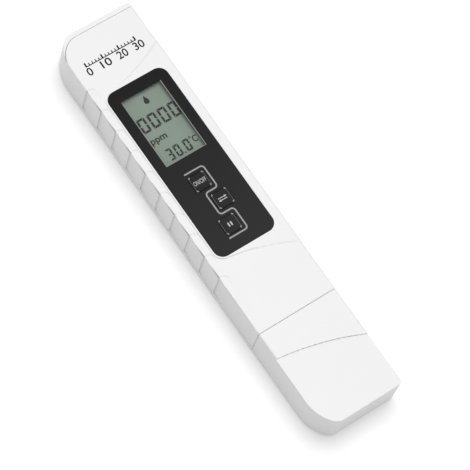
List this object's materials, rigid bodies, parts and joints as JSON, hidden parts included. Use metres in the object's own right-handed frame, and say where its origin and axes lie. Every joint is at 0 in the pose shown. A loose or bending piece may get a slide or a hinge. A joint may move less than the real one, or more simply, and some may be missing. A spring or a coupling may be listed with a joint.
{
  "type": "pen water quality tester",
  "caption": "Pen-shaped water quality tester with a display, three keys, a pull-off probe cap and a sliding battery door.",
  "frame": {"origin": "centre of the bottom of the bounding box, on the rear face that the pen lies on", "axes": "+Y along the pen toward the top end, +Z out of the display, +X to the right of the display"},
  "size_m": [0.03, 0.154, 0.0153],
  "materials": {
    "white_shell": "satin moulded, warm white",
    "white_cap": "satin moulded, warm white",
    "black_panel": "fine matt film",
    "black_key": "embossed satin film",
    "clear_window": "clear, glossy",
    "switch_body": "moulded",
    "switch_stem": "moulded",
    "circuit_board": "green solder mask",
    "display_frame": "moulded",
    "reflector": "satin grey-green film",
    "display_glass": "thin glass",
    "contact_rubber": "layered silicone",
    "chip_resin": "poured resin",
    "component_body": "moulded",
    "cell_steel": "nickel plated",
    "contact_metal": "nickel plated strip",
    "probe_plastic": "moulded black",
    "electrode_metal": "polished",
    "steel": "drawn",
    "seal_rubber": "soft",
    "screw_steel": "zinc plated"
  },
  "bodies": {
    "case": {"front_shell": "white_shell", "rear_cover": "white_shell", "panel_overlay": "black_panel", "display_window": "clear_window", "on_off_switch": "switch_body", "shift_switch": "switch_body", "hold_switch": "switch_body", "main_board": "circuit_board", "lcd_frame": "display_frame", "lcd_reflector": "reflector", "lcd_rear_glass": "display_glass", "lcd_front_glass": "display_glass", "zebra_strips": "contact_rubber", "controller_chip": "chip_resin", "crystal": "steel", "board_components": "component_body", "upper_button_cell": "cell_steel", "lower_button_cell": "cell_steel", "battery_contact_positive": "contact_metal", "battery_contact_negative": "contact_metal", "probe_block": "probe_plastic", "electrode_left": "electrode_metal", "electrode_right": "electrode_metal", "temperature_sensor": "steel", "probe_seal_ring": "seal_rubber", "case_screws": "screw_steel", "board_screws": "screw_steel"},
    "on_off_key": {"on_off_key": "black_key", "on_off_switch_stem": "switch_stem"},
    "shift_key": {"shift_key": "black_key", "shift_switch_stem": "switch_stem"},
    "hold_key": {"hold_key": "black_key", "hold_switch_stem": "switch_stem"},
    "probe_cap": {"probe_cap": "white_cap"},
    "battery_door": {"battery_door": "white_shell", "battery_bridge_contact": "contact_metal"}
  },
  "joints": [
    {"name": "on_off_key_press", "type": "slide", "parent": "case", "child": "on_off_key", "axis": [0, 0, -1], "range_m": [0, 0.0004], "stiffness_N_per_m": 6000},
    {"name": "shift_key_press", "type": "slide", "parent": "case", "child": "shift_key", "axis": [0, 0, -1], "range_m": [0, 0.0004], "stiffness_N_per_m": 6000},
    {"name": "hold_key_press", "type": "slide", "parent": "case", "child": "hold_key", "axis": [0, 0, -1], "range_m": [0, 0.0004], "stiffness_N_per_m": 6000},
    {"name": "cap_pull", "type": "slide", "parent": "case", "child": "probe_cap", "axis": [0, -1, 0], "range_m": [0, 0.036]},
    {"name": "door_slide", "type": "slide", "parent": "case", "child": "battery_door", "axis": [0, 1, 0], "range_m": [0, 0.034]}
  ]
}
